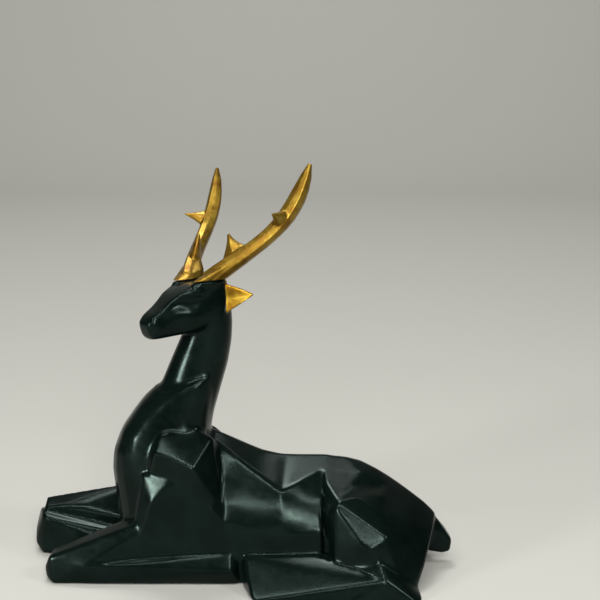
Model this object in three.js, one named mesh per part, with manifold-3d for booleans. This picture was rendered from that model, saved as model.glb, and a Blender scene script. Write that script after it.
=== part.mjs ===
// Reclining deer figurine, cast resin, with two separately cast antlers.
// Millimetres, +Z up, the deer looks along -X and its left side is -Y.
import * as THREE from 'three';
import { ConvexGeometry } from 'three/addons/geometries/ConvexGeometry.js';
import * as BufferGeometryUtils from 'three/addons/utils/BufferGeometryUtils.js';
import Module from 'manifold-3d';

const wasm = await Module();
wasm.setup();

// Driving sizes
const LENGTH = 241; // knee of the right foreleg to the tip of the tail
const WIDTH = 120; // across both hind feet
const CARVED_LENGTH = 241; // the length for which the trunk and the legs below are written
const CARVED_WIDTH = 120; // and the width
const ANTLER_GAP = 0.3; // glue line under each antler
const BODY_COLOUR = 0x0d1d1a;
const GOLD_COLOUR = 0xc8922c;

// Head placing: the middle of the skull between the antlers
const HEAD_X = -23;
const HEAD_Y = -1.5;
const HEAD_YAW = THREE.MathUtils.degToRad(37.5);
const HEAD_ROLL = THREE.MathUtils.degToRad(6.5);
const SEAT_HEIGHT = 165; // flat seats of the antlers over the ground, at the middle of the head
const SEAT_SIDE = 10.2; // middle of a seat from the middle of the head
const SEAT_LONG = 10.6; // half length of a seat along the head
const SEAT_WIDE = 5.4; // half width of a seat
const SEAT_RISE = 3.4; // how far a seat stands out of the skull
const SEAT_FLARE = 2; // how much longer a seat is at the skull, at each end
const ANTLER_PLACE = -1; // middle of the seats along the head
const SEAT_LEAN = 1.2; // how much nearer to the middle of the head a seat is at the skull
const SEAT_CORNERS = 12;
const FOOT_INSET = 0.4; // edge of the seat round the foot of the antler

const NECK_ROOT = 96; // height at which the neck leaves the chest

// Sizes of the cutting blocks, which only need to be larger than what they cut
const GROUND_WIDTH = 400;
const GROUND_DEPTH = 60;
const TRIM_REACH = 60;

function toSolid(geometry) {
  const bare = geometry.clone();
  bare.deleteAttribute('normal');
  bare.deleteAttribute('uv');
  const merged = BufferGeometryUtils.mergeVertices(bare, 1e-4);
  const mesh = new wasm.Mesh({
    numProp: 3,
    vertProperties: new Float32Array(merged.attributes.position.array),
    triVerts: new Uint32Array(merged.index.array),
  });
  return new wasm.Manifold(mesh);
}

// Place on the trunk, legs or neck, stretched to the length and the width of the figure
function onBody([x, y, z]) {
  return [x * (LENGTH / CARVED_LENGTH), y * (WIDTH / CARVED_WIDTH), z];
}

// Convex mass round a few corner points
function mass(corners) {
  const points = corners.map((corner) => new THREE.Vector3(...corner));
  return toSolid(new ConvexGeometry(points));
}

function bodyMass(corners) {
  return mass(corners.map(onBody));
}

// Corner points and their mirror images across the middle of the body
function bothSides(corners) {
  return [...corners, ...corners.map(([x, y, z]) => [x, -y, z])];
}

function mirrored(corners) {
  return corners.map(([x, y, z]) => [x, -y, z]);
}

// Closed body through rings that all have the same number of points
function loft(rings) {
  const count = rings[0].length;
  const vertices = [];
  const triangles = [];
  for (const ring of rings) {
    for (const corner of ring) {
      vertices.push(...corner);
    }
  }
  for (let row = 0; row < rings.length - 1; row += 1) {
    for (let k = 0; k < count; k += 1) {
      const a = row * count + k;
      const b = row * count + ((k + 1) % count);
      triangles.push(a, b, b + count, a, b + count, a + count);
    }
  }
  const last = (rings.length - 1) * count;
  for (let k = 1; k < count - 1; k += 1) {
    triangles.push(0, k + 1, k);
    triangles.push(last, last + k, last + k + 1);
  }
  if (signedVolume(vertices, triangles) < 0) {
    for (let t = 0; t < triangles.length; t += 3) {
      const kept = triangles[t + 1];
      triangles[t + 1] = triangles[t + 2];
      triangles[t + 2] = kept;
    }
  }
  const mesh = new wasm.Mesh({
    numProp: 3,
    vertProperties: new Float32Array(vertices),
    triVerts: new Uint32Array(triangles),
  });
  return new wasm.Manifold(mesh);
}

function signedVolume(vertices, triangles) {
  const corner = (index) => new THREE.Vector3().fromArray(vertices, index * 3);
  let total = 0;
  for (let t = 0; t < triangles.length; t += 3) {
    const a = corner(triangles[t]);
    const b = corner(triangles[t + 1]);
    const c = corner(triangles[t + 2]);
    total += a.dot(b.cross(c));
  }
  return total;
}

function joined(solids) {
  return solids.reduce((sum, solid) => sum.add(solid));
}

function toMesh(solid, name, material) {
  const source = solid.getMesh();
  const geometry = new THREE.BufferGeometry();
  geometry.setAttribute('position', new THREE.BufferAttribute(new Float32Array(source.vertProperties), 3));
  geometry.setIndex(new THREE.BufferAttribute(new Uint32Array(source.triVerts), 1));
  geometry.computeVertexNormals();
  const mesh = new THREE.Mesh(geometry, material);
  mesh.name = name;
  return mesh;
}

// Straight-line value of every field of a row table at a place
function rowAt(rows, key, place) {
  let k = 0;
  while (k < rows.length - 2 && rows[k + 1][key] < place) {
    k += 1;
  }
  const share = (place - rows[k][key]) / (rows[k + 1][key] - rows[k][key]);
  const row = {};
  for (const field of Object.keys(rows[k])) {
    row[field] = THREE.MathUtils.lerp(rows[k][field], rows[k + 1][field], share);
  }
  return row;
}

// Barrel of the trunk. top: height of the spine; crest: crease beside the back; rib: next crease;
// side: fullest place of the flank; every pair is distance from the middle, height

const BARREL = [
  { x: -22, top: 82.5, crestY: 8, crestZ: 78, ribY: 20.5, ribZ: 60, sideY: 28, sideZ: 40, footY: 28 },
  { x: -12, top: 78.4, crestY: 9.5, crestZ: 74.4, ribY: 23.2, ribZ: 58, sideY: 33, sideZ: 38, footY: 31 },
  { x: 0, top: 72.8, crestY: 17.2, crestZ: 67.4, ribY: 26.8, ribZ: 53.4, sideY: 34.2, sideZ: 35, footY: 32 },
  { x: 12, top: 67.7, crestY: 22.6, crestZ: 59.4, ribY: 29.9, ribZ: 47.6, sideY: 35.5, sideZ: 31, footY: 33 },
  { x: 23, top: 65.2, crestY: 28.6, crestZ: 52.1, ribY: 33, ribZ: 43.6, sideY: 36.5, sideZ: 30, footY: 34 },
  { x: 33, top: 64.8, crestY: 22.6, crestZ: 55.8, ribY: 30.9, ribZ: 45.2, sideY: 37.2, sideZ: 31, footY: 35 },
  { x: 42, top: 64.8, crestY: 15.6, crestZ: 58.7, ribY: 28, ribZ: 47.4, sideY: 37.4, sideZ: 32, footY: 35 },
  { x: 50, top: 64.7, crestY: 9.6, crestZ: 60.8, ribY: 25, ribZ: 49.6, sideY: 37.4, sideZ: 33, footY: 35 },
];
const BARREL_END_LEAN = 0.24; // the rear edge of the flank leans forward going down
const BARREL_LEAN_DEPTH = 19; // and stops leaning this far under the spine
const BARREL_ROUND = 0.4; // how far the faces beside the rib crease swell

function barrelRing(x, lean) {
  const row = rowAt(BARREL, 'x', x);
  const half = [
    [row.crestY, row.crestZ],
    [(row.crestY + row.ribY) / 2, (row.crestZ + row.ribZ) / 2 + BARREL_ROUND],
    [row.ribY, row.ribZ],
    [(row.ribY + row.sideY) / 2 + 2 * BARREL_ROUND, (row.ribZ + row.sideZ) / 2],
    [row.sideY, row.sideZ],
    [row.sideY - BARREL_ROUND, row.sideZ / 2],
    [row.footY, 0],
  ];
  const place = (y, z) => onBody([x - lean * Math.min(row.top - z, BARREL_LEAN_DEPTH), y, z]);
  const ring = [place(0, row.top)];
  for (const [y, z] of half) {
    ring.push(place(y, z));
  }
  for (const [y, z] of [...half].reverse()) {
    ring.push(place(-y, z));
  }
  return ring;
}

function barrel() {
  const places = [-22, -12, -6, 0, 6, 12, 17.5, 23, 28, 33, 38, 42, 46];
  const rings = places.map((x) => barrelRing(x, 0));
  rings.push(barrelRing(50, BARREL_END_LEAN));
  return loft(rings);
}

// Neck and chest, as rings: front and back points in the middle plane, half width,
// roundness (2 is an ellipse, more is squarer) and, on the chest, how much higher
// the ring runs at its very front. The rises of the neck are shares of the way from
// its root up to the antler seats.

const NECK = [
  { step: 0, frontX: -50, frontRise: -0.377, backX: -19, backRise: -0.435, half: 17, round: 2.3 },
  { step: 1, frontX: -49, frontRise: 0, backX: -14.6, backRise: -0.087, half: 16, round: 2.4 },
  { step: 2, frontX: -43.6, frontRise: 0.174, backX: -10.6, backRise: 0.116, half: 15.2, round: 2.4 },
  { step: 3, frontX: -38.6, frontRise: 0.348, backX: -6.5, backRise: 0.319, half: 14.2, round: 2.3 },
  { step: 4, frontX: -34.2, frontRise: 0.493, backX: -4.2, backRise: 0.507, half: 13.6, round: 2.3 },
  { step: 5, frontX: -30.8, frontRise: 0.609, backX: -3.6, backRise: 0.667, half: 13.2, round: 2.2 },
  { step: 6, frontX: -30, frontRise: 0.739, backX: -4.6, backRise: 0.812, half: 12.4, round: 2.2 },
  { step: 7, frontX: -28, frontRise: 0.87, backX: -9, backRise: 0.928, half: 9.5, round: 2.2 },
];

const CHEST = [
  { step: 0, frontX: -66, frontZ: 0, backX: 6, backZ: 0, half: 27, round: 2.5, lift: 0 },
  { step: 1, frontX: -68, frontZ: 22, backX: 6, backZ: 22, half: 28.5, round: 2.5, lift: 0 },
  { step: 2, frontX: -70.3, frontZ: 42, backX: 4, backZ: 40, half: 28.5, round: 2.5, lift: 0 },
  { step: 3, frontX: -72, frontZ: 60, backX: -2, backZ: 56, half: 27, round: 2.6, lift: 0 },
  { step: 4, frontX: -71, frontZ: 70, backX: -8, backZ: 68, half: 25.5, round: 2.8, lift: 0 },
  { step: 5, frontX: -66.6, frontZ: 81, backX: -17.2, backZ: 79, half: 23.4, round: 3, lift: 0 },
  { step: 6, frontX: -59.6, frontZ: 90, backX: -15.6, backZ: 92, half: 21.2, round: 3, lift: 1 },
  { step: 7, frontX: -54.4, frontZ: 94, backX: -13.4, backZ: 104, half: 20, round: 3, lift: 4 },
  { step: 8, frontX: -50.4, frontZ: 96.6, backX: -12.4, backZ: 116, half: 18.7, round: 2.8, lift: 5.2 },
  { step: 9, frontX: -48.6, frontZ: 98.6, backX: -12.6, backZ: 116.4, half: 16.3, round: 2.5, lift: 5 },
  { step: 10, frontX: -47.6, frontZ: 100.4, backX: -12.4, backZ: 117, half: 16.9, round: 2.5, lift: 4.2 },
  { step: 11, frontX: -44, frontZ: 102, backX: -13, backZ: 118, half: 14.2, round: 2.3, lift: 4 },
];
const RING_POINTS = 24;

// Height on the neck, given as a share of the way from its root up to the antler seats
function neckHeight(rise) {
  return NECK_ROOT + rise * (SEAT_HEIGHT - NECK_ROOT);
}

function neck() {
  const rows = NECK.map((row) => ({
    ...row,
    lift: 0,
    frontZ: neckHeight(row.frontRise),
    backZ: neckHeight(row.backRise),
  }));
  return throat(rows, 2);
}

function throatRing(row) {
  const middle = [(row.frontX + row.backX) / 2, (row.frontZ + row.backZ) / 2];
  const reach = [(row.frontX - row.backX) / 2, (row.frontZ - row.backZ) / 2];
  const ring = [];
  for (let k = 0; k < RING_POINTS; k += 1) {
    const angle = (k / RING_POINTS) * 2 * Math.PI;
    const along = Math.sign(Math.cos(angle)) * Math.abs(Math.cos(angle)) ** (2 / row.round);
    const across = Math.sign(Math.sin(angle)) * Math.abs(Math.sin(angle)) ** (2 / row.round);
    const lift = row.lift * Math.max(along, 0) ** 4;
    ring.push(onBody([
      middle[0] + reach[0] * along,
      row.half * across,
      middle[1] + reach[1] * along + lift,
    ]));
  }
  return ring;
}

function throat(rows, stepsBetween) {
  const rings = [];
  const count = (rows.length - 1) * stepsBetween;
  for (let k = 0; k <= count; k += 1) {
    rings.push(throatRing(rowAt(rows, 'step', k / stepsBetween)));
  }
  return loft(rings);
}

// Carved masses of the body, given for the left side. Each is the convex mass round its corners.

const SHOULDER = [
  [-43, -25, 84],
  [-45.4, -32.4, 75.4],
  [-24.7, -37.6, 68],
  [-49, -27.5, 62.5],
  [-39, -31, 60.5],
  [-10.8, -12, 74.2],
  [-10.8, -27, 57.6],
  [-11, -31.4, 44],
  [-14, -32.4, 38],
  [-30, -12, 82],
  [-15, -11, 78],
  [-46, -18, 44],
  [-48, -17, 74],
];
// The left shoulder is drawn up by the turned neck, the right one is lower
const LEFT_SHOULDER_TOP = [
  [-23, -19.6, 85.4],
  [-14.6, -21.6, 81],
];
const RIGHT_SHOULDER_TOP = [[-30, -21, 80]];
const ELBOW = [
  [-52.9, -26.5, 62.3],
  [-38.5, -31.5, 61.1],
  [-38.8, -32.7, 57.6],
  [-47.6, -33.2, 47.2],
  [-50.9, -31, 46.9],
  [-25, -33.6, 58],
  [-12, -29.4, 54],
  [-11, -33, 37],
  [-57, -29.5, 34.5],
  [-62, -31, 12],
  [-62, -33, 0],
  [-3, -33.6, 0],
  [2, -34.2, 22],
  [-50, -14, 50],
  [-20, -14, 58],
  [-58, -16, 0],
  [-4, -16, 0],
];
// Ridge down the outer side of the thigh, which three masses share
const THIGH_RIDGE = [
  [84.1, -9.7, 48.9],
  [78.7, -24, 48.1],
  [78.4, -38.5, 42.1],
  [80.2, -48.8, 33.3],
  [79.1, -50, 27.5],
];
const HAUNCH = [
  ...THIGH_RIDGE,
  [54, -38, 49.8],
  [52.6, -39.5, 47.7],
  [65.4, -33, 50.4],
  [76.5, -23.4, 48.4],
  [61, -17, 54.6],
  [52.6, -42.5, 28.7],
  [66.2, -49.5, 30.4],
  [69.9, -51, 27.7],
  [50.5, -36.5, 18],
  [52, -44, 14],
  [76, -52, 17],
  [49, -34, 40],
  [60, -8, 54],
  [56, -20, 10],
  [84, -20, 10],
];
const CORE = [
  [30, 32, 0],
  [30, 33, 26],
  [30, 20, 44],
  [60, 33, 30],
  [60, 16, 50],
  [92, 34, 0],
  [86, 30, 22],
];
const CORE_REAR = [
  [54, 38.5, 0],
  [54, 37.5, 16],
  [76, 47, 0],
  [74, 45, 17],
  [90, 42, 0],
  [60, 20, 30],
  [86, 32, 20],
];
const HIP = [
  [46, 0, 64.6],
  [59.3, 0, 63.3],
  [68, 0, 60.9],
  [76.5, 0, 56.5],
  [85.4, 0, 50.8],
  [47, -9, 60.8],
  [47, -22, 56.6],
  [47, -31.5, 47],
  [47, -33, 14],
  [54, -37.4, 49.6],
  [61.2, -17, 55.8],
  [67.5, -10, 58.2],
  [80, -18, 10],
  [84.1, -9.7, 48.9],
];
const BUTTOCK = [
  ...THIGH_RIDGE,
  [83, 0, 52.2],
  [89, 0, 48.2],
  [96, 0, 43],
  [104.6, 0, 36.2],
  [108.1, 0, 32.6],
  [88, -51, 11],
  [76, -51.5, 20],
  [110.5, -2, 29.5],
  [108.5, -14, 26],
  [105, -27, 19.5],
  [102, -36, 12.7],
  [97.6, -44, 5.6],
  [96, -46, 0],
  [104, -10, 8],
  [101, -10, 0],
  [70, -30, 0],
];
const HOCK = [
  [76, -52, 20.4],
  [88.6, -52, 10.8],
  [100, -54, 0],
  [97, -60, 0],
  [79, -58.5, 12.4],
  [60, -47, 15.6],
  [60, -40, 20],
  [70, -40, 22],
  [96, -40, 5],
  [60, -60, 0],
  [60, -30, 0],
  [98, -30, 0],
];
const HIND_FOOT = [
  [79, -58.5, 12.4],
  [51.5, -49, 14.6],
  [42, -40.5, 18.8],
  [40, -38, 20],
  [3, -36.6, 17.6],
  [6.5, -52.5, 4],
  [8, -57, 0],
  [79, -60, 0],
  [1.6, -34.4, 0],
  [2.2, -32, 17],
  [44, -32, 19.6],
  [60, -38, 14],
  [60, -30, 0],
];
const FORELEG = [
  [-105.4, -29.5, 14.8],
  [-104, -17, 15.6],
  [-108.2, -27, 8],
  [-107.8, -18, 8],
  [-107.2, -28.4, 2.4],
  [-106.6, -17, 2.4],
  [-103, -32.5, 0],
  [-104, -16, 0],
  [-55, -30.5, 34.6],
  [-56, -16, 35.6],
  [-45, -31.5, 36],
  [-85, -34.6, 11.4],
  [-45, -33.5, 0],
  [-45, -14, 0],
  [-45, -14, 36],
];
const CANNON = [
  [-86, -35, 11.4],
  [-86, -33, 0],
  [-86, -20, 0],
  [-86, -20, 11],
  [-4.5, -34.6, 19],
  [-3.6, -38, 9.4],
  [-0.6, -35, 4.6],
  [-0.4, -33, 0],
  [-2, -33.2, 18.6],
  [-4, -20, 0],
  [-4, -20, 19],
];
const RIGHT_FOREARM = [
  [-115.6, 18, 26],
  [-116, 29, 29.6],
  [-106, 18, 27.6],
  [-92.2, 18, 28],
  [-83, 16.4, 26],
  [-73.7, 14, 22.8],
  [-90, 31, 31.8],
  [-72, 32, 34],
  [-60, 12, 20],
  [-60, 33, 38],
  [-108, 22, 13],
  [-108, 31, 4],
  [-58, 14, 4],
  [-58, 33, 4],
];
const RIGHT_TENDON = [
  [-103.5, 14, 20.4],
  [-102, 22, 24],
  [-79.8, 10.5, 15.4],
  [-79, 22, 17],
  [-60, 9, 10],
  [-60, 24, 10],
  [-100, 12.6, 4],
  [-100, 26, 4],
  [-60, 9, 2],
  [-60, 24, 2],
];
const RIGHT_CANNON = [
  [-115.6, 14, 24],
  [-113, 12, 22.6],
  [-113, 24, 26],
  [-118.8, 26, 24],
  [-121, 20, 13],
  [-120.6, 29, 13],
  [-121, 17, 5],
  [-119.4, 30, 4],
  [-116.4, 12.6, 0],
  [-115, 32, 0],
  [-116, 31.5, 18],
  [-87.3, 7.4, 12.6],
  [-90, 22, 13],
  [-40, 6.6, 8],
  [-40, 30, 8],
  [-88, 6.6, 0],
  [-40, 6.6, 0],
  [-40, 32, 0],
];
const TAIL = [
  [103, 0, 34],
  [103, -9, 27],
  [109.6, 0, 29.4],
  [116.5, -5, 20],
  [116.5, 5, 20],
  [103, 9, 27],
  [120, -4, 14.6],
  [120, 4, 14.6],
  [119, -5, 8.2],
  [119, 5, 8.2],
  [114.6, -6, 7.4],
  [114.6, 6, 7.4],
  [105, -6, 9],
  [105, 6, 9],
  [103, -6, 18],
  [103, 6, 18],
];

// Rows along the head, nose forward. brow: crease between top and side; eye: deepest
// place of the hollow under it; lid: edge of the hollow; cheek: fullest place; jaw: lower
// edge. Pairs are distance from the middle of the head and height over the antler seats;
// lean tips the ring back.

const HEAD = [
  {
    along: -14, top: -5, browY: 8, browZ: -7, eyeY: 9, eyeZ: -11, lidY: 9.3, lidZ: -14,
    cheekY: 9, cheekZ: -17, jawY: 7, jawZ: -22, under: -23, lean: 0,
  },
  {
    along: -9, top: -0.5, browY: 12.6, browZ: -2.4, eyeY: 13, eyeZ: -8, lidY: 13.3, lidZ: -13,
    cheekY: 13, cheekZ: -17, jawY: 10, jawZ: -24.5, under: -26.5, lean: 0,
  },
  {
    along: -4, top: -0.3, browY: 13.4, browZ: -2.7, eyeY: 13.6, eyeZ: -8, lidY: 13.8, lidZ: -13,
    cheekY: 13.4, cheekZ: -17.2, jawY: 10.4, jawZ: -25.2, under: -27.4, lean: 0,
  },
  {
    along: 2, top: -0.2, browY: 14.2, browZ: -4.3, eyeY: 13.4, eyeZ: -8.4, lidY: 13.4, lidZ: -12.6,
    cheekY: 13.4, cheekZ: -17, jawY: 10.2, jawZ: -25.8, under: -27.8, lean: 0,
  },
  {
    along: 7.3, top: -0.4, browY: 14.2, browZ: -6.3, eyeY: 11.4, eyeZ: -9.4, lidY: 12, lidZ: -13,
    cheekY: 12.7, cheekZ: -17.4, jawY: 9.4, jawZ: -26.5, under: -28, lean: 0,
  },
  {
    along: 12, top: -2, browY: 13, browZ: -5.3, eyeY: 8.8, eyeZ: -9.2, lidY: 9.4, lidZ: -12.6,
    cheekY: 11.6, cheekZ: -17, jawY: 8.6, jawZ: -27, under: -28.2, lean: 0,
  },
  {
    along: 17, top: -4.6, browY: 10.6, browZ: -5.5, eyeY: 7.2, eyeZ: -9, lidY: 8.2, lidZ: -11.2,
    cheekY: 10.6, cheekZ: -15.8, jawY: 7.6, jawZ: -27.4, under: -28.4, lean: 0,
  },
  {
    along: 22, top: -7.8, browY: 8.4, browZ: -8.7, eyeY: 7.6, eyeZ: -10.8, lidY: 8.3, lidZ: -12.8,
    cheekY: 9.8, cheekZ: -16, jawY: 7, jawZ: -27.6, under: -28.6, lean: 0,
  },
  {
    along: 27, top: -11.4, browY: 7.2, browZ: -12, eyeY: 7.7, eyeZ: -14.4, lidY: 8.1, lidZ: -16.2,
    cheekY: 8.7, cheekZ: -19, jawY: 6.4, jawZ: -27.9, under: -28.8, lean: 0,
  },
  {
    along: 33, top: -15, browY: 6.8, browZ: -15.6, eyeY: 7.4, eyeZ: -17.6, lidY: 7.6, lidZ: -19.2,
    cheekY: 7.5, cheekZ: -21.8, jawY: 5.7, jawZ: -28, under: -29, lean: 0.1,
  },
  {
    along: 35.9, top: -17.6, browY: 5.6, browZ: -18.1, eyeY: 6.1, eyeZ: -19.8, lidY: 6.2, lidZ: -21,
    cheekY: 6, cheekZ: -23, jawY: 4.7, jawZ: -27.6, under: -28.6, lean: 0.22,
  },
  {
    along: 37.1, top: -19.8, browY: 3.8, browZ: -20.4, eyeY: 4.4, eyeZ: -21.6, lidY: 4.5, lidZ: -22.6,
    cheekY: 4.4, cheekZ: -23.8, jawY: 3.4, jawZ: -26.4, under: -27, lean: 0.3,
  },
];

const headPlace = onBody([HEAD_X, HEAD_Y, SEAT_HEIGHT]);
const headForward = new THREE.Vector3(-Math.cos(HEAD_YAW), -Math.sin(HEAD_YAW), 0);
const headLeft = new THREE.Vector3(Math.sin(HEAD_YAW), -Math.cos(HEAD_YAW), 0);
const headUp = new THREE.Vector3(0, 0, 1);
headLeft.applyAxisAngle(headForward, HEAD_ROLL);
headUp.applyAxisAngle(headForward, HEAD_ROLL);

// Place given along the head, to its left and by height over the antler seats
function onHead(along, left, height) {
  const turned = new THREE.Vector3()
    .addScaledVector(headForward, along)
    .addScaledVector(headLeft, left)
    .addScaledVector(headUp, height);
  return [headPlace[0] + turned.x, headPlace[1] + turned.y, headPlace[2] + turned.z];
}

function headRing(row) {
  const half = [
    [row.browY * 0.88, row.browZ + 0.75 * (row.top - row.browZ)],
    [row.browY, row.browZ],
    [row.eyeY, row.eyeZ],
    [row.lidY, row.lidZ],
    [row.cheekY, row.cheekZ],
    [(row.cheekY + row.jawY) / 2 + 0.9, (row.cheekZ + row.jawZ) / 2],
    [row.jawY, row.jawZ],
  ];
  const place = (left, height) => onHead(row.along - row.lean * (row.top - height), left, height);
  const ring = [place(0, row.top)];
  for (const [left, height] of half) {
    ring.push(place(left, height));
  }
  ring.push(place(0, row.under));
  for (const [left, height] of [...half].reverse()) {
    ring.push(place(-left, height));
  }
  return ring;
}

function head() {
  return loft(HEAD.map(headRing));
}

// Corners of a regular figure round a circle of radius 1
function roundCorners(count) {
  const corners = [];
  for (let k = 0; k < count; k += 1) {
    const angle = (k / count) * 2 * Math.PI;
    corners.push([Math.cos(angle), Math.sin(angle)]);
  }
  return corners;
}

// Swelling with the flat seat of one antler; side is 1 for left, -1 for right
function seat(side) {
  const corners = [];
  const skullSide = SEAT_SIDE - SEAT_LEAN;
  const skullLong = SEAT_LONG + SEAT_FLARE;
  for (const [along, across] of roundCorners(SEAT_CORNERS)) {
    corners.push(onHead(ANTLER_PLACE + SEAT_LONG * along, side * (SEAT_SIDE + SEAT_WIDE * across), 0));
    const skullLeft = side * (skullSide + SEAT_WIDE * across);
    corners.push(onHead(ANTLER_PLACE + skullLong * along, skullLeft, -SEAT_RISE));
  }
  return mass(corners);
}

// Leaf-shaped ear pointing out and back, in two leaves that meet in a hollow
function ear(side) {
  const place = ([along, left, height]) => onHead(along, side * left, height);
  const middle = [
    [-7, 11, -10.6],
    [-14, 16.4, -10],
    [-21.5, 23, -9.6],
  ];
  const rear = [
    [-11, 8, -10.6],
    [-18, 14, -9.8],
    [-22.4, 21.6, -9.6],
  ];
  const upper = [
    [-9, 13, -2.2],
    [-15.7, 18, -5.3],
    [-11.4, 9.6, -3.6],
    [-17, 15.4, -6.4],
    [-5, 10, -5],
  ];
  const lower = [
    [-6.8, 13.6, -19.4],
    [-11.8, 17.4, -16],
    [-16, 20.4, -13.2],
    [-10.4, 9.6, -18],
    [-15, 14.6, -14.6],
    [-4, 10, -17],
  ];
  return [upper, lower].map((leaf) => mass([...middle, ...rear, ...leaf].map(place)));
}

// Middle line from the seat: back, out, up
const BEAM = [
  [0, 0, 0],
  [21.4, 22.7, 19.9],
  [38.4, 26.2, 23.4],
  [48, 34.7, 59.1],
];
// Share of the way, half height and half thickness of the beam
const BEAM_SIZES = [
  { share: 0, deep: 5.6, wide: 4.8 },
  { share: 0.12, deep: 5.4, wide: 4.6 },
  { share: 0.3, deep: 4.7, wide: 4.5 },
  { share: 0.5, deep: 4.7, wide: 4.6 },
  { share: 0.68, deep: 5.2, wide: 4.8 },
  { share: 0.8, deep: 5, wide: 4.5 },
  { share: 0.9, deep: 4.1, wide: 3.7 },
  { share: 0.96, deep: 2.8, wide: 2.5 },
  { share: 1, deep: 1.2, wide: 1 },
];
const BEAM_RINGS = 15;
const BEAM_SIDES = 8;
const BEAM_HOLLOW = 0.88; // size of every second corner of a beam ring, which keeps the ridges crisp
const BEAM_OUTER_FACE = new THREE.Vector3(-0.5, 0.8, -0.3); // the way the broad outer face looks
const BEAM_STEP = 0.02; // share of the way over which the run of the beam is taken
// Rings of the foot over the seat: its middle back, out and up, half length, half width
// and how much higher the rear end is than the middle
const FOOT_RINGS = [
  { back: 0, out: 0, up: 0, long: SEAT_LONG - FOOT_INSET, wide: SEAT_WIDE - FOOT_INSET, climb: 0 },
  { back: 2.4, out: 1.8, up: 3.4, long: 8.8, wide: 5, climb: 1.4 },
  { back: 9, out: 8.3, up: 9.2, long: 4.8, wide: 4.2, climb: 1.6 },
];
// Tines: where they leave the beam, their tip as back, out, up, and half thickness
const LOWER_TINE = { from: 0.06, to: 0.32, tip: [12, 4.2, 24.2], thick: 3.4 };
const UPPER_TINE = { from: 0.52, to: 0.72, tip: [21.5, 32.7, 34.2], thick: 3.4 };
const TINE_RINGS = 5;
const TINE_SIDES = 8;
// Tines narrow towards the tip by these powers, so that their flanks are hollow, and end blunt
const TINE_LONG_POWER = 1.5;
const TINE_THICK_POWER = 0.8;
const TINE_BLUNT_LONG = 0.07;
const TINE_BLUNT_THICK = 0.4;

function onAntler(side, back, out, up) {
  return onHead(ANTLER_PLACE - back, side * (SEAT_SIDE + out), ANTLER_GAP + up);
}

function beamPoint(share) {
  const rest = 1 - share;
  const weights = [rest ** 3, 3 * rest * rest * share, 3 * rest * share * share, share ** 3];
  const point = new THREE.Vector3();
  for (let k = 0; k < 4; k += 1) {
    point.addScaledVector(new THREE.Vector3(...BEAM[k]), weights[k]);
  }
  return point;
}

function beam(side) {
  const rings = [];
  for (let k = 0; k <= BEAM_RINGS; k += 1) {
    const share = k / BEAM_RINGS;
    const middle = beamPoint(share);
    const behind = beamPoint(Math.max(share - BEAM_STEP, 0));
    const ahead = beamPoint(Math.min(share + BEAM_STEP, 1)).sub(behind).normalize();
    const over = new THREE.Vector3().crossVectors(BEAM_OUTER_FACE, ahead).normalize();
    const across = new THREE.Vector3().crossVectors(ahead, over).normalize();
    const size = rowAt(BEAM_SIZES, 'share', share);
    const ring = roundCorners(BEAM_SIDES).map(([upward, sideways], corner) => {
      const squeeze = corner % 2 === 0 ? 1 : BEAM_HOLLOW;
      const point = middle.clone()
        .addScaledVector(over, upward * size.deep * squeeze)
        .addScaledVector(across, sideways * size.wide * squeeze);
      return onAntler(side, point.x, point.y, point.z);
    });
    rings.push(ring);
  }
  return loft(rings);
}

// Foot of the antler that stands on the seat and narrows into the beam
function antlerFoot(side) {
  const corners = [];
  for (const { back, out, up, long, wide, climb } of FOOT_RINGS) {
    for (const [along, across] of roundCorners(SEAT_CORNERS)) {
      corners.push(onAntler(side, back + long * along, out + wide * across, up + climb * along));
    }
  }
  return mass(corners);
}

// Thorn that leaves the beam between two places, with hollow flanks
function tine(side, branch) {
  const from = beamPoint(branch.from);
  const to = beamPoint(branch.to);
  const foot = from.clone().add(to).multiplyScalar(0.5);
  const tip = new THREE.Vector3(...branch.tip);
  const span = to.clone().sub(from).multiplyScalar(0.5);
  const normal = new THREE.Vector3().crossVectors(span, tip.clone().sub(from)).normalize();
  const rings = [];
  for (let k = 0; k <= TINE_RINGS; k += 1) {
    const share = k / TINE_RINGS;
    const middle = foot.clone().lerp(tip, share);
    const long = (1 - share) ** TINE_LONG_POWER + TINE_BLUNT_LONG;
    const thick = branch.thick * (1 - share) ** TINE_THICK_POWER + TINE_BLUNT_THICK;
    const ring = roundCorners(TINE_SIDES).map(([lengthways, sideways]) => {
      const point = middle.clone()
        .addScaledVector(span, lengthways * long)
        .addScaledVector(normal, sideways * thick);
      return onAntler(side, point.x, point.y, point.z);
    });
    rings.push(ring);
  }
  return loft(rings);
}

// Block under the ground that cuts the underside flat
function ground() {
  const box = new THREE.BoxGeometry(GROUND_WIDTH, GROUND_WIDTH, GROUND_DEPTH);
  box.translate(0, 0, -GROUND_DEPTH / 2);
  return toSolid(box);
}

function deerBody() {
  const solids = [
    barrel(),
    throat(CHEST, 2),
    neck(),
    head(),
    seat(1),
    seat(-1),
    ...ear(1),
    ...ear(-1),
    bodyMass(bothSides(CORE)),
    bodyMass(bothSides(CORE_REAR)),
    bodyMass([...SHOULDER, ...LEFT_SHOULDER_TOP]),
    bodyMass(mirrored([...SHOULDER, ...RIGHT_SHOULDER_TOP])),
    bodyMass(bothSides(HIP)),
    bodyMass(bothSides(BUTTOCK)),
    bodyMass(TAIL),
    bodyMass(FORELEG),
    bodyMass(CANNON),
    bodyMass(RIGHT_FOREARM),
    bodyMass(RIGHT_TENDON),
    bodyMass(RIGHT_CANNON),
  ];
  for (const corners of [ELBOW, HAUNCH, HOCK, HIND_FOOT]) {
    solids.push(bodyMass(corners), bodyMass(mirrored(corners)));
  }
  return joined(solids).subtract(ground());
}

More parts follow.
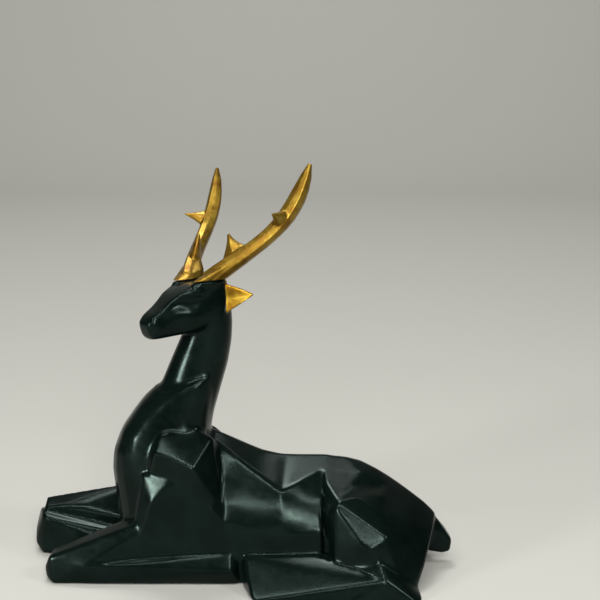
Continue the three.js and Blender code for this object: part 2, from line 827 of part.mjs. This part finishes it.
// One antler, cut off flat over its seat
function antler(side) {
  const seatPlane = [];
  for (const along of [-TRIM_REACH, TRIM_REACH]) {
    for (const left of [-TRIM_REACH, TRIM_REACH]) {
      seatPlane.push(onHead(along, left, ANTLER_GAP));
      seatPlane.push(onHead(along, left, ANTLER_GAP - TRIM_REACH));
    }
  }
  const solids = [beam(side), antlerFoot(side), tine(side, LOWER_TINE), tine(side, UPPER_TINE)];
  return joined(solids).subtract(mass(seatPlane));
}

const resin = new THREE.MeshStandardMaterial({ color: BODY_COLOUR, roughness: 0.3, metalness: 0 });
const goldLeft = new THREE.MeshStandardMaterial({ color: GOLD_COLOUR, roughness: 0.3, metalness: 0.9 });
const goldRight = new THREE.MeshStandardMaterial({ color: GOLD_COLOUR, roughness: 0.3, metalness: 0.9 });

const deer = new THREE.Group();
deer.name = 'resin_deer_figurine';
deer.add(toMesh(deerBody(), 'deer_body', resin));
deer.add(toMesh(antler(1), 'antler_left', goldLeft));
deer.add(toMesh(antler(-1), 'antler_right', goldRight));

// Stand the figure on the ground with its box centred on the origin
const box = new THREE.Box3().setFromObject(deer);
const shift = [-(box.min.x + box.max.x) / 2, -(box.min.y + box.max.y) / 2, -box.min.z];
for (const child of deer.children) {
  child.geometry.translate(...shift);
}

export default deer;
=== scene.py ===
import math

import bmesh
import bpy
import numpy as np
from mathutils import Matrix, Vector
from mathutils.kdtree import KDTree


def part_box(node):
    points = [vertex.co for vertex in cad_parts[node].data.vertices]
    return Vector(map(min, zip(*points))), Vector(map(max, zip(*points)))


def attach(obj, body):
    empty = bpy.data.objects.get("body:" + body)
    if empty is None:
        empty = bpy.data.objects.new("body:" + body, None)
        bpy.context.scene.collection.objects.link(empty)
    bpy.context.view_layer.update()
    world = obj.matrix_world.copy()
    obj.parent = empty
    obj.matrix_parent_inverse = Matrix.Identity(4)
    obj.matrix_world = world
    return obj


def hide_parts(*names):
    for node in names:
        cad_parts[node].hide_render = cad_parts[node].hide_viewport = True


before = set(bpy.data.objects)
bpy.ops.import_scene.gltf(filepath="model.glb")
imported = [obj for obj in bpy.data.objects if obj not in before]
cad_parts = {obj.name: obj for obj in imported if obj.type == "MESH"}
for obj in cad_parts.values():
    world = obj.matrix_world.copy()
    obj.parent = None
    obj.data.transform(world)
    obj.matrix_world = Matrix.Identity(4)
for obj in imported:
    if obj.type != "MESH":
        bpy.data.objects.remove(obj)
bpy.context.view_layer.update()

# Places on the figure are given in millimetres from the carving's own origin, which lies
# this far from the lowest corner of the body's box
CARVING_ORIGIN = (0.121, 0.060)
body_low, body_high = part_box("deer_body")

# Head: the middle of the skull between the antlers, and how the head is turned
HEAD_PLACE = (-23.0, -1.5)
HEAD_YAW = math.radians(37.5)
HEAD_ROLL = math.radians(6.5)
SEAT_HEIGHT = 165.0

# Gold paint of an ear: it starts at a plane across the root of the ear, ends at a plane
# under its lower leaf and stays within a ball round the ear. Each plane has the direction
# of its painted side and its distance from the middle of the head. Millimetres and
# directions along the head, to its side, and over the antler seats.
EAR_PLANES = [
    ((-0.6, 0.8, 0.0), 16.2),
    ((0.38, -0.285, 0.88), -23.9),
]
EAR_MIDDLE = (-14.0, 16.0, -10.5)
EAR_REACH = 12.5
EAR_EDGE_SOFT = 0.25

# Surface: an outward crease sharper than this angle stays a crease, and points along it
# stand this far apart
CRISP_ANGLE = math.radians(17.0)
CREASE_STEP = 0.0004
CELLS_IN_BOX = 0.9
MOST_TRIANGLES = 180000
# Shares of a smoothing step: of faces that flow together, of all creases as they are
# rounded, less on the thin ears, and of the steps in and back out that soften what is left
# and keep thin tips at their length
FLOWING = 0.6
ROUNDING = 0.5
EAR_ROUNDING = 0.1
STEP_IN = 0.55
STEP_OUT = -0.50
# halvings: how often a node's box is halved to give its cells; reach: how far from a
# crease the surface starts to flow and flows in full; then rounds of each kind of smoothing
BODY_SURFACE = {"halvings": 9, "reach": (0.0008, 0.005), "flow": 90, "round": 34, "soften": 10}
ANTLER_SURFACE = {"halvings": 8, "reach": (0.0004, 0.002), "flow": 60, "round": 10, "soften": 12}

# Finish
METAL_SHARE = 0.85
LACQUER_SHEEN = 0.11
# Painted reflection: a green tint laid on the lacquer's reflections, as if from a green room
# around the figure
PAINTED_GREEN_REFLECTION_TINT = (0.72, 1.0, 0.88, 1)
FLOOR_COLOUR = (0.33, 0.325, 0.295, 1)
FLOOR_ROUGHNESS = 0.8

# Floor that rises into a backdrop: its near and far ends, the bend, its height and half width
FLOOR_NEAR = -3.0
FLOOR_FAR = 1.6
BEND_RADIUS = 0.9
BEND_STEPS = 16
BACKDROP_TOP = 4.0
FLOOR_HALF_WIDTH = 4.0

# Soft lights: name, place, what it is aimed at, width and height, watts
LIGHTS = [
    ("key", (-0.93, -0.88, 0.29), (-0.04, 0, 0.06), (0.22, 0.22), 14),
    ("fill", (1.05, -0.62, 0.95), (0, 0, 0.06), (0.25, 0.25), 7),
    ("low_strip", (0.05, -1.20, 0.72), (0, 0, 0.06), (0.8, 0.04), 7),
    ("high_strip", (-0.1, -0.62, 1.15), (0, 0, 0.06), (1.3, 0.04), 12),
    ("upright_strip", (0.20, -1.15, 0.62), (0, 0, 0.06), (0.04, 0.8), 9),
    ("overhead", (-0.1, 0.40, 1.5), (0, 0.05, 0.05), (0.5, 0.35), 14),
    ("backdrop", (0, 1.1, 1.9), (0, 2.4, 0.7), (2.4, 0.3), 34),
]
ROOM_COLOUR = (0.88, 0.95, 0.90, 1)
ROOM_STRENGTH = 0.05

# Camera
CAMERA_PLACE = (33.5, -784.5, 316.0)
CAMERA_PITCH = math.radians(11.7)
CAMERA_LENS = 87.0
SENSOR_WIDTH = 36.0


def carved(x, y, z):
    """A place on the figure in metres, from the carving's millimetres."""
    return Vector((
        body_low.x + CARVING_ORIGIN[0] + x / 1000,
        body_low.y + CARVING_ORIGIN[1] + y / 1000,
        z / 1000,
    ))


def head_axes():
    """Forward, left and up of the turned head."""
    forward = Vector((-math.cos(HEAD_YAW), -math.sin(HEAD_YAW), 0))
    left = Vector((math.sin(HEAD_YAW), -math.cos(HEAD_YAW), 0))
    up = Vector((0, 0, 1))
    turned_left = left * math.cos(HEAD_ROLL) + forward.cross(left) * math.sin(HEAD_ROLL)
    turned_up = up * math.cos(HEAD_ROLL) + forward.cross(up) * math.sin(HEAD_ROLL)
    return forward, turned_left, turned_up


def head_direction(along, left, up):
    """A direction given along the head, to its left and upwards."""
    forward, to_left, upward = head_axes()
    return forward * along + to_left * left + upward * up


def on_head(along, left, height):
    """A place on the head: along it, to its left, and over the antler seats."""
    middle = carved(HEAD_PLACE[0], HEAD_PLACE[1], SEAT_HEIGHT)
    return middle + head_direction(along, left, height) / 1000


# Fine surfaces

def welded(node):
    """Mesh of a CAD node, with its doubled vertices joined."""
    mesh = bmesh.new()
    mesh.from_mesh(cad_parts[node].data)
    bmesh.ops.remove_doubles(mesh, verts=mesh.verts, dist=1e-6)
    return mesh


def crease_points(mesh, least_angle, step):
    """Points along the outward creases that are sharper than an angle."""
    points = []
    for edge in mesh.edges:
        if not edge.is_manifold or edge.calc_face_angle_signed() < least_angle:
            continue
        start, end = edge.verts[0].co, edge.verts[1].co
        count = max(int((end - start).length / step), 1)
        points.extend(start.lerp(end, k / count) for k in range(count + 1))
    return points


def distances(coords, points):
    """Distance of every coordinate from the nearest of the points."""
    tree = KDTree(len(points))
    for k, point in enumerate(points):
        tree.insert(point, k)
    tree.balance()
    return np.array([tree.find(place)[2] for place in coords])


def smoothed(coords, edges, share, rounds):
    """Moves every vertex towards the middle of its neighbours by its own share."""
    count = len(coords)
    degree = np.bincount(edges.ravel(), minlength=count)[:, None].astype(float)
    starts, ends = edges[:, 0], edges[:, 1]
    for _ in range(rounds):
        total = np.zeros_like(coords)
        for axis in range(3):
            total[:, axis] += np.bincount(starts, weights=coords[ends, axis], minlength=count)
            total[:, axis] += np.bincount(ends, weights=coords[starts, axis], minlength=count)
        coords = coords + (total / degree - coords) * share[:, None]
    return coords


def rounding_share(coords):
    """Share by which every coordinate is rounded: all alike but on the ears."""
    share = np.full(len(coords), ROUNDING)
    for side in (1, -1):
        ear = on_head(EAR_MIDDLE[0], side * EAR_MIDDLE[1], EAR_MIDDLE[2])
        away = np.linalg.norm(coords - np.array(ear), axis=1)
        share[away < EAR_REACH / 1000] = EAR_ROUNDING
    return share


def applied(piece):
    """The piece's mesh with its modifiers in it, which are then gone."""
    bpy.context.view_layer.update()
    evaluated = piece.evaluated_get(bpy.context.evaluated_depsgraph_get())
    mesh = bpy.data.meshes.new_from_object(evaluated)
    piece.modifiers.clear()
    piece.data = mesh
    return mesh


def in_cells(piece, halvings):
    """Builds the surface again from small cells that keep sharp edges sharp."""
    remesh = piece.modifiers.new("cells", "REMESH")
    remesh.mode = "SHARP"
    remesh.octree_depth = halvings
    remesh.scale = CELLS_IN_BOX
    remesh.use_remove_disconnected = False
    return applied(piece)


def thinned(piece):
    """Joins the smallest triangles of flat places until no more than the most are left."""
    count = sum(len(face.vertices) - 2 for face in piece.data.polygons)
    if count > MOST_TRIANGLES:
        decimate = piece.modifiers.new("thin", "DECIMATE")
        decimate.ratio = MOST_TRIANGLES / count
        applied(piece)


def relaxed(coords, edges, creases, surface):
    """Lets the small facets flow together, then rounds and softens the creases."""
    near, far = surface["reach"]
    share = np.clip((distances(coords, creases) - near) / (far - near), 0, 1)
    share = share * share * (3 - 2 * share) * FLOWING
    coords = smoothed(coords, edges, share, surface["flow"])
    coords = smoothed(coords, edges, rounding_share(coords), surface["round"])
    everywhere = np.ones(len(coords))
    for _ in range(surface["soften"]):
        coords = smoothed(coords, edges, everywhere * STEP_IN, 1)
        coords = smoothed(coords, edges, everywhere * STEP_OUT, 1)
    return coords


def fine_surface(name, node, surface):
    """A fine copy of a CAD node whose main creases stay and whose facets flow together."""
    source = welded(node)
    creases = crease_points(source, CRISP_ANGLE, CREASE_STEP)
    mesh = bpy.data.meshes.new(name)
    source.to_mesh(mesh)
    source.free()
    piece = bpy.data.objects.new(name, mesh)
    bpy.context.scene.collection.objects.link(piece)
    fine = in_cells(piece, surface["halvings"])

    coords = np.zeros(len(fine.vertices) * 3)
    fine.vertices.foreach_get("co", coords)
    edges = np.zeros(len(fine.edges) * 2, int)
    fine.edges.foreach_get("vertices", edges)
    coords = relaxed(coords.reshape(-1, 3), edges.reshape(-1, 2), creases, surface)
    low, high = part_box(node)
    coords = np.clip(coords, np.array(low), np.array(high))
    fine.vertices.foreach_set("co", coords.ravel())
    fine.update()
    thinned(piece)
    piece.data.polygons.foreach_set("use_smooth", [True] * len(piece.data.polygons))
    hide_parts(node)
    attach(piece, "root")
    return piece


def painted(piece, material, slot):
    """Gives a piece its one material. The slot is not used."""
    piece.data.materials.clear()
    piece.data.materials.append(material)


# Materials

class Paint:
    """A node material and short ways to add to it."""

    def __init__(self, name):
        self.material = bpy.data.materials.new(name)
        self.material.use_nodes = True
        self.nodes = self.material.node_tree.nodes
        self.links = self.material.node_tree.links
        self.shader = self.nodes["Principled BSDF"]
        self.place = self.nodes.new("ShaderNodeTexCoord").outputs["Object"]

    def noise(self, scale, detail, roughness):
        """Noise over the surface, as a value round 0.5."""
        texture = self.nodes.new("ShaderNodeTexNoise")
        texture.inputs["Scale"].default_value = scale
        texture.inputs["Detail"].default_value = detail
        texture.inputs["Roughness"].default_value = roughness
        self.links.new(self.place, texture.inputs["Vector"])
        return texture.outputs["Fac"]

    def spread(self, value, low, high, start=0.3, end=0.7):
        """A value between start and end brought to the range from low to high."""
        ranged = self.nodes.new("ShaderNodeMapRange")
        ranged.inputs["From Min"].default_value = start
        ranged.inputs["From Max"].default_value = end
        ranged.inputs["To Min"].default_value = low
        ranged.inputs["To Max"].default_value = high
        self.links.new(value, ranged.inputs["Value"])
        return ranged.outputs["Result"]

    def ramp(self, value, stops):
        """Colours along a value."""
        ramp = self.nodes.new("ShaderNodeValToRGB")
        elements = ramp.color_ramp.elements
        while len(elements) < len(stops):
            elements.new(0.5)
        for element, (position, colour) in zip(elements, stops):
            element.position = position
            element.color = (*colour, 1)
        self.links.new(value, ramp.inputs["Fac"])
        return ramp.outputs["Color"]

    def math(self, operation, first, second):
        """A sum, product or other pairing of two values."""
        node = self.nodes.new("ShaderNodeMath")
        node.operation = operation
        for socket, value in zip(node.inputs, (first, second)):
            if isinstance(value, (int, float)):
                socket.default_value = value
            else:
                self.links.new(value, socket)
        return node.outputs["Value"]

    def mix(self, share, first, second, kind="FLOAT"):
        """One value or colour turning into another."""
        node = self.nodes.new("ShaderNodeMix")
        node.data_type = kind
        used = [socket for socket in node.inputs if socket.enabled]
        for socket, value in zip((used[0], used[-2], used[-1]), (share, first, second)):
            self.links.new(value, socket)
        return [socket for socket in node.outputs if socket.enabled][0]

    def vector(self, operation, first, second=None):
        """Vector sum, product, length and so on; the second is a fixed vector."""
        node = self.nodes.new("ShaderNodeVectorMath")
        node.operation = operation
        self.links.new(first, node.inputs[0])
        if second is not None:
            node.inputs[1].default_value = second
        return node.outputs["Value" if operation in ("LENGTH", "DOT_PRODUCT") else "Vector"]

    def bump(self, height, distance, strength):
        """Small unevenness of the surface from a value."""
        bump = self.nodes.new("ShaderNodeBump")
        bump.inputs["Distance"].default_value = distance
        bump.inputs["Strength"].default_value = strength
        self.links.new(height, bump.inputs["Height"])
        return bump.outputs["Normal"]

    def feed(self, socket, value):
        """Brings a value, colour or normal to one of the shader's sockets."""
        self.links.new(value, self.shader.inputs[socket])


def ear_share(paint):
    """1 on the gold paint of both ears, 0 elsewhere."""
    both = None
    for side in (1, -1):
        middle = on_head(EAR_MIDDLE[0], side * EAR_MIDDLE[1], EAR_MIDDLE[2])
        reach = paint.vector("LENGTH", paint.vector("SUBTRACT", paint.place, middle))
        ear = paint.spread(reach, 1, 0, (EAR_REACH - EAR_EDGE_SOFT) / 1000, EAR_REACH / 1000)
        for (along, outward, upward), place in EAR_PLANES:
            away = head_direction(along, side * outward, upward)
            edge = on_head(0, 0, 0) + away * place / 1000
            beyond = paint.vector("DOT_PRODUCT", paint.vector("SUBTRACT", paint.place, edge), away)
            painted = paint.spread(beyond, 0, 1, -EAR_EDGE_SOFT / 1000, EAR_EDGE_SOFT / 1000)
            ear = paint.math("MULTIPLY", ear, painted)
        both = ear if both is None else paint.math("MAXIMUM", both, ear)
    return both


def gold_colour(paint):
    """Gold paint that is thinner and browner in places."""
    patches = paint.noise(130, 4, 0.6)
    return paint.ramp(patches, [
        (0.30, (0.120, 0.050, 0.003)),
        (0.48, (0.185, 0.105, 0.009)),
        (0.70, (0.245, 0.165, 0.021)),
    ])


def gold_roughness(paint):
    """Brushed paint, duller in places."""
    return paint.spread(paint.noise(420, 5, 0.6), 0.26, 0.46)


def resin_and_gold():
    """Dark green-black lacquer of the body, with gold paint on both ears."""
    paint = Paint("lacquered_resin")
    ears = ear_share(paint)
    resin = paint.ramp(paint.noise(55, 4, 0.55), [
        (0.32, (0.0006, 0.0019, 0.0015)),
        (0.68, (0.0018, 0.0042, 0.0034)),
    ])
    paint.feed("Base Color", paint.mix(ears, resin, gold_colour(paint), "RGBA"))
    paint.feed("Metallic", paint.math("MULTIPLY", ears, METAL_SHARE))
    gloss = paint.spread(paint.noise(260, 5, 0.6), 0.17, 0.26)
    paint.feed("Roughness", paint.mix(ears, gloss, gold_roughness(paint)))
    paint.shader.inputs["Specular IOR Level"].default_value = LACQUER_SHEEN
    # Painted reflection: the lacquer's reflections are tinted green, as if from a green room
    # around the figure
    paint.shader.inputs["Specular Tint"].default_value = PAINTED_GREEN_REFLECTION_TINT
    paint.feed("Normal", paint.bump(paint.noise(900, 4, 0.55), 0.0004, 0.05))
    return paint.material


def gold():
    """Gold paint of the antlers."""
    paint = Paint("gold_paint")
    paint.feed("Base Color", gold_colour(paint))
    paint.shader.inputs["Metallic"].default_value = METAL_SHARE
    paint.feed("Roughness", gold_roughness(paint))
    paint.feed("Normal", paint.bump(paint.noise(700, 4, 0.6), 0.0005, 0.12))
    return paint.material


body = fine_surface("deer_figure", "deer_body", BODY_SURFACE)
painted(body, resin_and_gold(), "body_resin")
gold_material = gold()
for side in ("left", "right"):
    antler = fine_surface(f"gold_antler_{side}", f"antler_{side}", ANTLER_SURFACE)
    painted(antler, gold_material, "gold_paint")


# Floor, light and camera

def sweep():
    """Pale floor that rises into a backdrop far behind the figure."""
    profile = [(FLOOR_NEAR, 0.0), (FLOOR_FAR, 0.0)]
    for k in range(1, BEND_STEPS + 1):
        angle = k / BEND_STEPS * math.pi / 2
        rise = BEND_RADIUS * (1 - math.cos(angle))
        profile.append((FLOOR_FAR + BEND_RADIUS * math.sin(angle), rise))
    profile.append((FLOOR_FAR + BEND_RADIUS, BACKDROP_TOP))
    sides = (-FLOOR_HALF_WIDTH, FLOOR_HALF_WIDTH)
    vertices = [(x, y, z) for y, z in profile for x in sides]
    faces = [(2 * k, 2 * k + 1, 2 * k + 3, 2 * k + 2) for k in range(len(profile) - 1)]
    mesh = bpy.data.meshes.new("floor")
    mesh.from_pydata(vertices, [], faces)
    mesh.polygons.foreach_set("use_smooth", [True] * len(mesh.polygons))
    floor = bpy.data.objects.new("floor", mesh)
    bpy.context.scene.collection.objects.link(floor)
    paint = Paint("pale_floor")
    paint.shader.inputs["Base Color"].default_value = FLOOR_COLOUR
    paint.shader.inputs["Roughness"].default_value = FLOOR_ROUGHNESS
    mesh.materials.append(paint.material)


def soft_light(name, place, target, size, power):
    """A rectangle of light aimed at a place."""
    data = bpy.data.lights.new(name, "AREA")
    data.shape = "RECTANGLE"
    data.size, data.size_y = size
    data.energy = power
    light = bpy.data.objects.new(name, data)
    light.location = place
    light.rotation_euler = (Vector(target) - Vector(place)).to_track_quat("-Z", "Y").to_euler()
    bpy.context.scene.collection.objects.link(light)


def room():
    """Faint even light from all sides."""
    world = bpy.data.worlds.new("room")
    world.use_nodes = True
    background = world.node_tree.nodes["Background"]
    background.inputs["Color"].default_value = ROOM_COLOUR
    background.inputs["Strength"].default_value = ROOM_STRENGTH
    bpy.context.scene.world = world


def camera():
    """The camera of the photograph."""
    data = bpy.data.cameras.new("camera")
    data.lens = CAMERA_LENS
    data.sensor_width = SENSOR_WIDTH
    view = bpy.data.objects.new("camera", data)
    view.location = carved(*CAMERA_PLACE)
    view.rotation_euler = (math.pi / 2 - CAMERA_PITCH, 0, 0)
    bpy.context.scene.collection.objects.link(view)
    bpy.context.scene.camera = view


sweep()
for light in LIGHTS:
    soft_light(*light)
room()
bpy.context.scene.view_settings.view_transform = "Standard"
camera()
